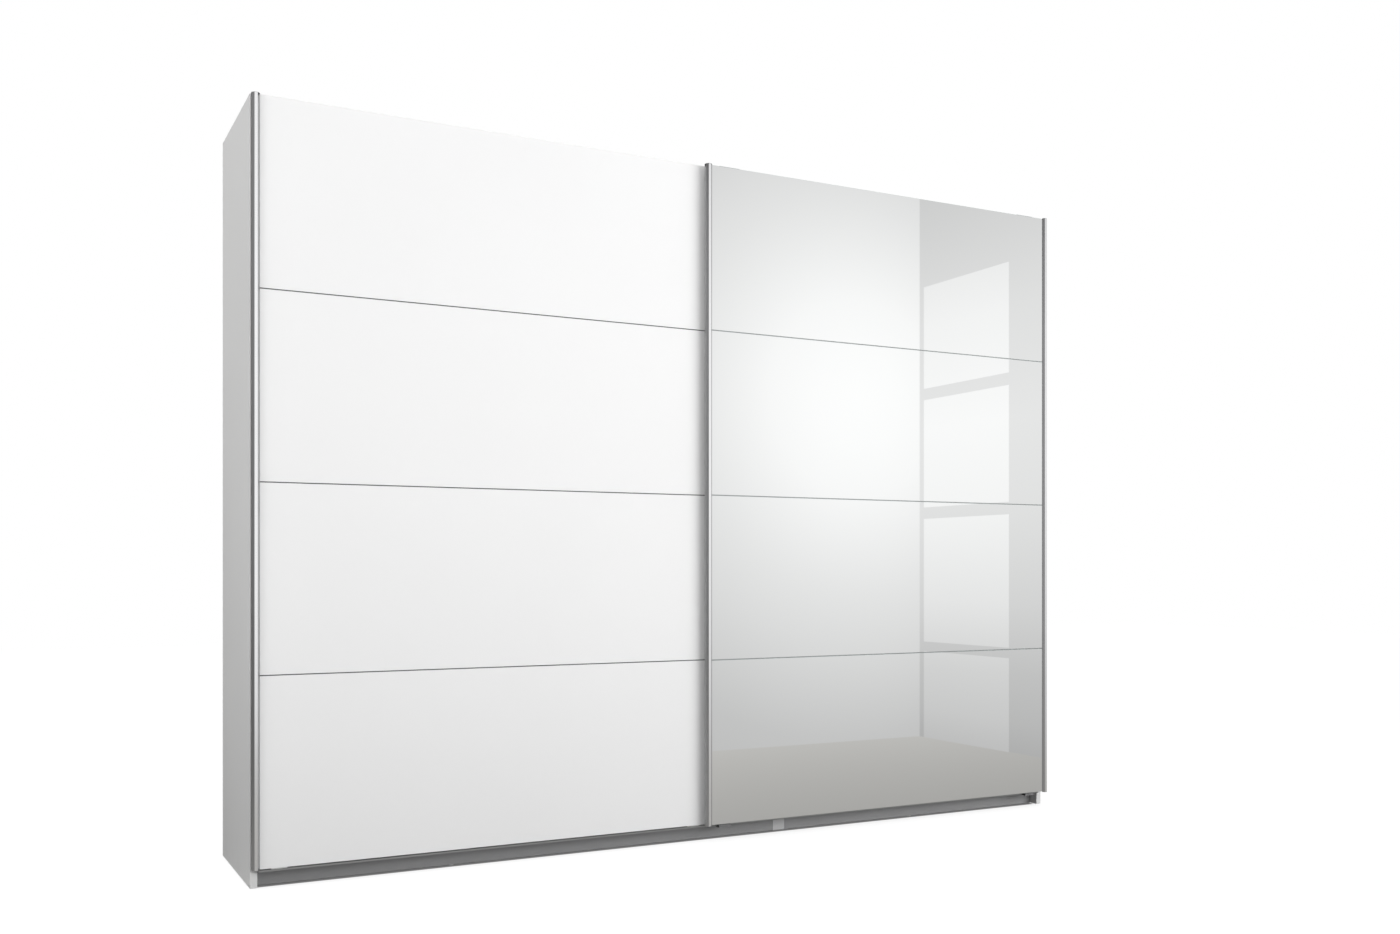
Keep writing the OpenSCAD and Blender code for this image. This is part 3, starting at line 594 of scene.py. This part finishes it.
# %% Fittings of the carcass
for node, material, slot, ease in (
        ("top_board_left", carcass_white, "white_board", 0.6 * MM),
        ("top_board_right", carcass_white, "white_board", 0.6 * MM),
        ("bottom_board_left", carcass_white, "white_board", 0.6 * MM),
        ("bottom_board_right", carcass_white, "white_board", 0.6 * MM),
        ("partition_panel", carcass_white, "white_board", 0.6 * MM),
        ("rear_plinth_boards", plinth_grey, "plinth_board", 0.8 * MM),
        ("plinth_joint_clip", clip_grey, "plinth_clip", 0.3 * MM),
        ("running_rail", rail_silver, "rail_aluminium", 0.35 * MM),
        ("guide_rail", guide_silver, "rail_aluminium", 0.25 * MM),
        ("track_stops", rubber, "stop_rubber", 0.8 * MM),
        ("clothes_rod_left", rod_chrome, "rod_aluminium", 0.2 * MM),
        ("clothes_rod_right", rod_chrome, "rod_aluminium", 0.2 * MM),
        ("rod_flanges", nylon, "nylon", 0.5 * MM),
        ("rod_hangers", zinc, "zinc_steel", 0.3 * MM),
        ("wall_brackets", zinc, "zinc_steel", 0.4 * MM),
        ("floor_glides", nylon, "nylon", 0.4 * MM)):
    piece = eased_copy(node, "carcass", material, ease)
    print(piece.name, "faces:", len(piece.data.polygons))

# %% [markdown]
# ## The doors' fittings
#
# The trim strips close the seams between the fields. The carriages are bent steel that hooks over
# the top of the carcass and holds the axles, and the guides run under the doors. They ride with
# their door, and each grooved roller rides with its own body, because it turns.

# %% Fittings of the doors
for side in ("left", "right"):
    body = f"{side}_door"
    guide_finish = (nylon, "nylon") if side == "left" else (black_steel, "black_steel")
    # The white door's trims get the darker tone, which is painted shade.
    trim_finish = trim_shaded if side == "left" else trim_silver
    for node, material, slot, ease in (
            (f"{side}_trim_strips", trim_finish, "trim_aluminium", 0.15 * MM),
            (f"{side}_carriage_brackets", zinc, "zinc_steel", 0.5 * MM),
            (f"{side}_guides", *guide_finish, 0.4 * MM)):
        piece = eased_copy(node, body, material, ease)
        print(piece.name, "faces:", len(piece.data.polygons))
    for place in ("outer", "inner"):
        node = f"{side}_roller_{place}"
        eased_copy(node, node + "_body", nylon, 0.3 * MM)

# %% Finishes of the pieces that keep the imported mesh
kept = {"back_joint_strips": back_white, "board_screws": zinc, "shelf_pins": zinc,
        "cam_locks": zinc, "cam_bolts": zinc, "left_door_screws": zinc, "right_door_screws": zinc,
        "left_axles": zinc, "right_axles": zinc}
for node, material in kept.items():
    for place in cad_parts[node].material_slots:
        place.material = material
print("pieces with the packed mesh:", len(kept))

# %% [markdown]
# ## The room around the wardrobe
#
# A mirror shows whatever stands in front of it, so the studio needs a room to reflect: a pale wall
# across from the doors with a soft glow on it, and a second wall at its right with a tall window.
# The polished handles need a bright front as well, so a pale card stands across from the white
# door, and two dimmer ones at the far left keep their flanks grey. Only reflections see these
# cards. They light nothing and never stand in the camera's way.


# %% Emission helper for the stage
def glow_material(name, ramp_stops, strength, centre=None):
    """Light that changes with height, or with the distance from a centre when one is given."""
    material = bpy.data.materials.new(name)
    material.use_nodes = True
    tree = material.node_tree
    tree.nodes.remove(tree.nodes["Principled BSDF"])
    place = add(tree, "ShaderNodeTexCoord").outputs["Object"]
    if centre:
        away = add(tree, "ShaderNodeVectorMath", {0: place}, operation="DISTANCE")
        away.inputs[1].default_value = centre
        along = away.outputs["Value"]
    else:
        along = add(tree, "ShaderNodeSeparateXYZ", {0: place}).outputs["Z"]
    reach = ramp_stops[-1][0]
    part = add(tree, "ShaderNodeMapRange", {"Value": along}, inputs={"From Max": reach})
    ramp = add(tree, "ShaderNodeValToRGB", {"Fac": part.outputs[0]})
    points = ramp.color_ramp.elements
    for stop, (distance, level) in enumerate(ramp_stops):
        point = points[stop] if stop < 2 else points.new(distance / reach)
        point.position = distance / reach
        point.color = (level, level, level, 1)
    light = add(tree, "ShaderNodeEmission", {"Color": ramp.outputs[0]},
                inputs={"Strength": strength})
    tree.links.new(light.outputs[0], tree.nodes["Material Output"].inputs["Surface"])
    return material


def card(name, low, high, material):
    """A thin stage card that only reflections see."""
    piece = block(name, low, high)
    piece.data.materials.append(material)
    piece.visible_camera = False
    piece.visible_diffuse = False
    piece.visible_shadow = False
    piece.visible_transmission = False
    return piece


# %% Walls and window for the mirror
wall_y = -2.45
corner_x = 2.17
wall_top = 3.4
left_x = -4.2
front_edge_y = -0.35
facing_wall_light = glow_material("facing_wall_light", (
    (0.0, 0.98), (0.25, 0.965), (0.5, 0.93), (0.75, 0.85), (1.0, 0.77), (1.25, 0.70),
    (1.75, 0.54), (2.6, 0.42), (6.0, 0.30)), 1.08, (1.8, wall_y, 1.75))
card("facing_wall", (left_x, wall_y - 0.01, 0), (corner_x, wall_y, wall_top), facing_wall_light)
side_wall_levels = ((0.0, 0.42), (0.15, 0.474), (0.376, 0.527), (0.717, 0.645), (1.0, 0.708),
                    (1.23, 0.752), (1.6, 0.783), (2.13, 0.737), (2.53, 0.658), (3.4, 0.5))
side_wall_light = glow_material("side_wall_light", side_wall_levels, 1.08)
window_light = glow_material("window_light", side_wall_levels, 1.30)
card("side_wall", (corner_x, wall_y, 0), (corner_x + 0.01, front_edge_y, wall_top),
     side_wall_light)
window_near, window_far = -1.65, -2.40
for place, (low, high) in enumerate(((0.0, 0.45), (0.50, 1.14), (1.20, 1.76), (1.82, 2.35))):
    card(f"window_pane_{place}", (corner_x - 0.006, window_far, low),
         (corner_x - 0.004, window_near, high), window_light)

# %% Cards for the handles
front_glow_light = glow_material("front_glow_light", (
    (0.0, 0.45), (0.3, 0.80), (0.8, 0.93), (2.0, 0.98), (3.4, 0.9)), 1.0)
card("front_glow", (-3.2, wall_y + 0.01, 0), (0.93, wall_y + 0.02, wall_top), front_glow_light)
left_wall_levels = ((0.0, 0.15), (1.2, 0.24), (3.4, 0.34))
left_wall_light = glow_material("left_wall_light", left_wall_levels, 1.0)
left_window_light = glow_material("left_window_light", left_wall_levels, 2.6)
card("left_wall", (left_x - 0.01, wall_y, 0), (left_x, 0.6, wall_top), left_wall_light)
card("left_window", (left_x + 0.005, -0.7, 0.2), (left_x + 0.01, -0.05, wall_top),
     left_window_light)

# %% [markdown]
# ## Floor
#
# The floor is a plain pale one. The camera sees it as clean as the background, except in a dark
# strip under and just before the plinth. No light casts that strip: it is drawn on the floor for
# the camera alone. Its front edge was set so that the wardrobe's dark foot looks as tall as on
# the real one. The modelled plinth ends a little higher, and its true edge shows when
# STRIP_LEVEL is made equal to CLEAN_LEVEL. Reflections see the floor a little warmer and darker,
# and dark behind the wardrobe. Other light finds it dull near the cabinet, so that it doesn't
# throw much light up under the doors.

# %% Floor
CLEAN_LEVEL = 0.82
STRIP_LEVEL = 0.09
STRIP_FADES_FROM = 0.026
STRIP_DARK_FROM = 0.016
floor = block("floor", (-14, -14, -0.02), (14, 14, 0))
clear()
floor_material = bpy.data.materials.new("pale_floor")
floor_material.use_nodes = True
tree = floor_material.node_tree
shader = tree.nodes["Principled BSDF"]
place = add(tree, "ShaderNodeTexCoord").outputs["Object"]
from_middle = add(tree, "ShaderNodeVectorMath", {0: place}, operation="DISTANCE")
shade = add(tree, "ShaderNodeMapRange", {"Value": from_middle.outputs["Value"]},
            inputs={"From Min": 1.6, "From Max": 4.5, "To Min": 0.08, "To Max": 0.65})
tree.links.new(shade.outputs[0], shader.inputs["Base Color"])
shader.inputs["Roughness"].default_value = 0.9
shader.inputs["Specular IOR Level"].default_value = 0.0
rays = add(tree, "ShaderNodeLightPath")
clean = add(tree, "ShaderNodeBsdfDiffuse", inputs={"Color": (0.25, 0.25, 0.25, 1)})
depth = add(tree, "ShaderNodeSeparateXYZ", {0: place})
plinth_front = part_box("plinth_left")[0].y
drawn_strip = add(tree, "ShaderNodeMapRange", {"Value": depth.outputs["Y"]},
                  inputs={"From Min": plinth_front - STRIP_FADES_FROM,
                          "From Max": plinth_front - STRIP_DARK_FROM,
                          "To Min": CLEAN_LEVEL, "To Max": STRIP_LEVEL})
sideways = add(tree, "ShaderNodeMath", {0: depth.outputs["X"]}, operation="ABSOLUTE")
beyond_x = add(tree, "ShaderNodeMath", {0: sideways.outputs[0]}, operation="GREATER_THAN")
beyond_x.inputs[1].default_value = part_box("side_panel_right")[0].x
beyond_y = add(tree, "ShaderNodeMath", {0: depth.outputs["Y"]}, operation="GREATER_THAN")
beyond_y.inputs[1].default_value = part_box("side_panel_right")[1].y
beyond = add(tree, "ShaderNodeMath", {0: beyond_x.outputs[0], 1: beyond_y.outputs[0]},
             operation="MAXIMUM")
open_floor = add(tree, "ShaderNodeMath", {0: beyond.outputs[0]}, operation="MULTIPLY")
open_floor.inputs[1].default_value = CLEAN_LEVEL
clean_level = add(tree, "ShaderNodeMath",
                  {0: drawn_strip.outputs[0], 1: open_floor.outputs[0]}, operation="MAXIMUM")
seen = add(tree, "ShaderNodeEmission", {"Strength": clean_level.outputs[0]},
           inputs={"Color": (1, 1, 1, 1)})
seen_total = add(tree, "ShaderNodeAddShader", {0: clean.outputs[0], 1: seen.outputs[0]})
nearer = add(tree, "ShaderNodeMapRange", {"Value": depth.outputs["Y"]},
             inputs={"From Min": wall_y, "From Max": -0.3, "To Min": 0.535, "To Max": 0.40})
behind = add(tree, "ShaderNodeMapRange", {"Value": depth.outputs["Y"]},
             inputs={"From Min": -0.2, "From Max": 0.5, "To Min": 1.0, "To Max": 0.08})
glow = add(tree, "ShaderNodeMath", {0: nearer.outputs[0], 1: behind.outputs[0]},
           operation="MULTIPLY")
warm = add(tree, "ShaderNodeCombineColor", {"Red": glow.outputs[0]})
for channel, share in (("Green", 0.985), ("Blue", 0.955)):
    part = add(tree, "ShaderNodeMath", {0: glow.outputs[0]}, operation="MULTIPLY")
    part.inputs[1].default_value = share
    tree.links.new(part.outputs[0], warm.inputs[channel])
mirrored = add(tree, "ShaderNodeEmission", {"Color": warm.outputs[0]}, inputs={"Strength": 1.0})
by_gloss = add(tree, "ShaderNodeMixShader", {0: rays.outputs["Is Glossy Ray"],
               1: shader.outputs[0], 2: mirrored.outputs[0]})
by_camera = add(tree, "ShaderNodeMixShader", {0: rays.outputs["Is Camera Ray"],
                1: by_gloss.outputs[0], 2: seen_total.outputs[0]})
tree.links.new(by_camera.outputs[0], tree.nodes["Material Output"].inputs["Surface"])
floor.data.materials.append(floor_material)

# %% [markdown]
# ## Studio light
#
# A white cove lights the cabinet from everywhere, and one large soft panel stands at the front
# right, so the white door is brightest at its upper right and the mirror door throws a short soft
# shadow on it. A smaller one lifts the outer face of the left side panel. The camera sees a clean
# white background. Reflections see a dim one, which keeps the flanks of the aluminium profiles
# dark against the white boards, and a brighter one straight above, for the rails and the rollers.

# %% World
world = bpy.data.worlds.new("studio")
bpy.context.scene.world = world
world.use_nodes = True
tree = world.node_tree
rays = add(tree, "ShaderNodeLightPath")
cove = tree.nodes["Background"]
cove.inputs["Color"].default_value = (1, 1, 1, 1)
cove.inputs["Strength"].default_value = 0.74
direction = add(tree, "ShaderNodeTexCoord").outputs["Generated"]
upward = add(tree, "ShaderNodeSeparateXYZ", {0: direction})
overhead = add(tree, "ShaderNodeMapRange", {"Value": upward.outputs["Z"]},
               inputs={"From Min": 0.4, "From Max": 0.85, "To Min": 0.07, "To Max": 0.7})
dim = add(tree, "ShaderNodeBackground", {"Strength": overhead.outputs[0]},
          inputs={"Color": (1, 1, 1, 1)})
clean = add(tree, "ShaderNodeBackground", inputs={"Color": (1, 1, 1, 1), "Strength": 1.0})
by_gloss = add(tree, "ShaderNodeMixShader", {0: rays.outputs["Is Glossy Ray"],
               1: cove.outputs[0], 2: dim.outputs[0]})
by_camera = add(tree, "ShaderNodeMixShader", {0: rays.outputs["Is Camera Ray"],
                1: by_gloss.outputs[0], 2: clean.outputs[0]})
tree.links.new(by_camera.outputs[0], tree.nodes["World Output"].inputs["Surface"])


# %% Two soft panels
def soft_panel(name, place, aim, width, height, power):
    """A flat soft light that reflections and the camera don't see."""
    clear()
    place, aim = Vector(place), Vector(aim)
    bpy.ops.object.light_add(type="AREA", location=place)
    panel = bpy.context.object
    panel.name = name
    panel.rotation_euler = (aim - place).to_track_quat("-Z", "Y").to_euler()
    panel.data.shape = "RECTANGLE"
    panel.data.size = width
    panel.data.size_y = height
    panel.data.energy = power
    panel.visible_glossy = False
    panel.visible_camera = False


soft_panel("key_panel", (3.4, -5.1, 1.35), (-0.3, -0.25, 0.95), 4.8, 2.6, 211)
soft_panel("side_panel_fill", (-5.5, -2.0, 3.6), (-1.35, 0, 1.6), 2.0, 2.0, 87)

# %% [markdown]
# ## Camera
#
# The camera stands to the left of the wardrobe, a little below the middle of its height, and
# looks level, so uprights stay upright. A small shift frames the wardrobe without tilting it.

# %% Camera
clear()
bpy.ops.object.camera_add(location=(-1.942, -4.566, 0.868),
                          rotation=(math.radians(90), 0, math.radians(-32.536)))
camera = bpy.context.object
camera.name = "main_camera"
camera.data.lens = 37.345
camera.data.sensor_width = 36
camera.data.shift_x = -0.15607
camera.data.shift_y = 0.07429
camera.data.clip_end = 60
bpy.context.scene.camera = camera
bpy.context.scene.view_settings.view_transform = "Standard"
